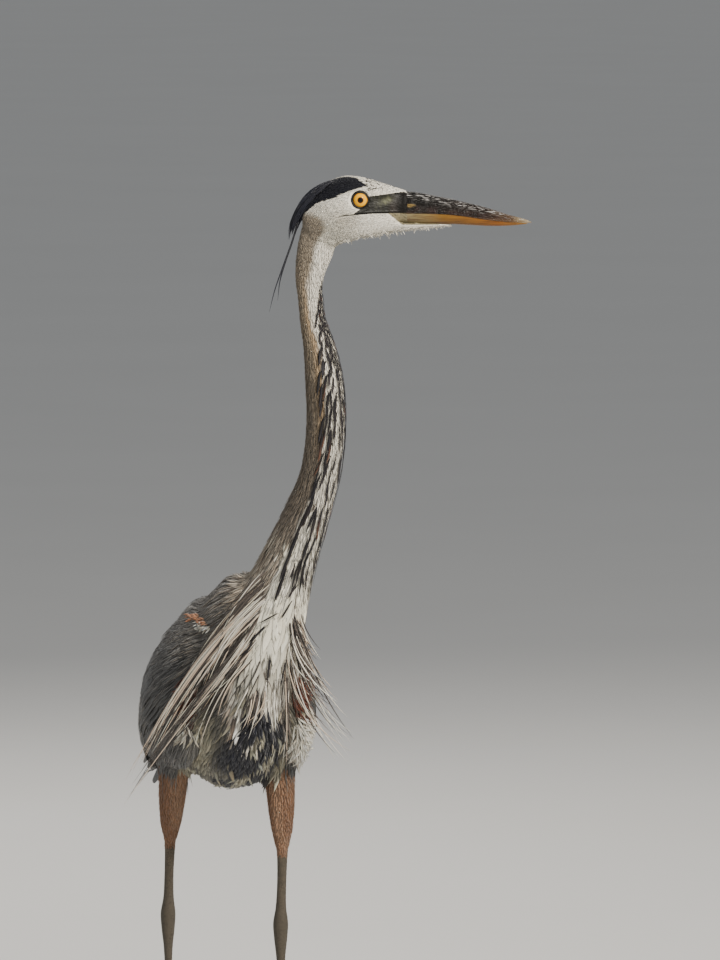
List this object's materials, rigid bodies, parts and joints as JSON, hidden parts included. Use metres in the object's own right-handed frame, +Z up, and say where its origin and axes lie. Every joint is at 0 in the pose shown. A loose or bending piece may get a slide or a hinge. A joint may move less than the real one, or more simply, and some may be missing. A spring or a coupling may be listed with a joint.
{
  "type": "great blue heron",
  "caption": "Life-size great blue heron, a still model standing alert with its long neck raised, dagger bill in profile, black crest plumes and loose breast plumes.",
  "frame": {"origin": "on the floor under the centre of the bounding box", "axes": "+Z up; +X the way the bill points; the breast faces -Y, turned 12 degrees towards +X"},
  "size_m": [0.4152, 0.4712, 0.9862],
  "materials": {
    "head_feathers": "short soft white feathers with a slate-black band from the eye to the nape",
    "crest_feathers": "glossy blue-black feathers",
    "neck_feathers": "silky grey-brown feathers, white down the throat with black streaks",
    "body_feathers": "slate and off-white loose feathers",
    "wing_feathers": "blue-grey smooth feathers",
    "tail_feathers": "blue-grey smooth feathers",
    "thigh_feathers": "short rusty-brown feathers",
    "upper_bill": "smooth dark horn, a little worn",
    "lower_bill": "smooth yellow-orange horn",
    "eyes": "wet and glossy, yellow iris round a black pupil",
    "leg_scales": "dark scaled skin",
    "claws": "smooth dark horn"
  },
  "bodies": {
    "root": {"bill_lower": "lower_bill", "bill_upper": "upper_bill", "crest": "crest_feathers", "eye_left": "eyes", "eye_right": "eyes", "foot_left": "leg_scales", "foot_right": "leg_scales", "head": "head_feathers", "neck_lower": "neck_feathers", "neck_middle": "neck_feathers", "neck_upper": "neck_feathers", "shank_left": "leg_scales", "shank_right": "leg_scales", "tail": "tail_feathers", "tarsus_left": "leg_scales", "tarsus_right": "leg_scales", "thigh_left": "thigh_feathers", "thigh_right": "thigh_feathers", "trunk": "body_feathers", "wing_left": "wing_feathers", "wing_right": "wing_feathers", "claw_hind_left": "claws", "claw_hind_right": "claws", "claw_inner_left": "claws", "claw_inner_right": "claws", "claw_middle_left": "claws", "claw_middle_right": "claws", "claw_outer_left": "claws", "claw_outer_right": "claws"}
  },
  "joints": []
}
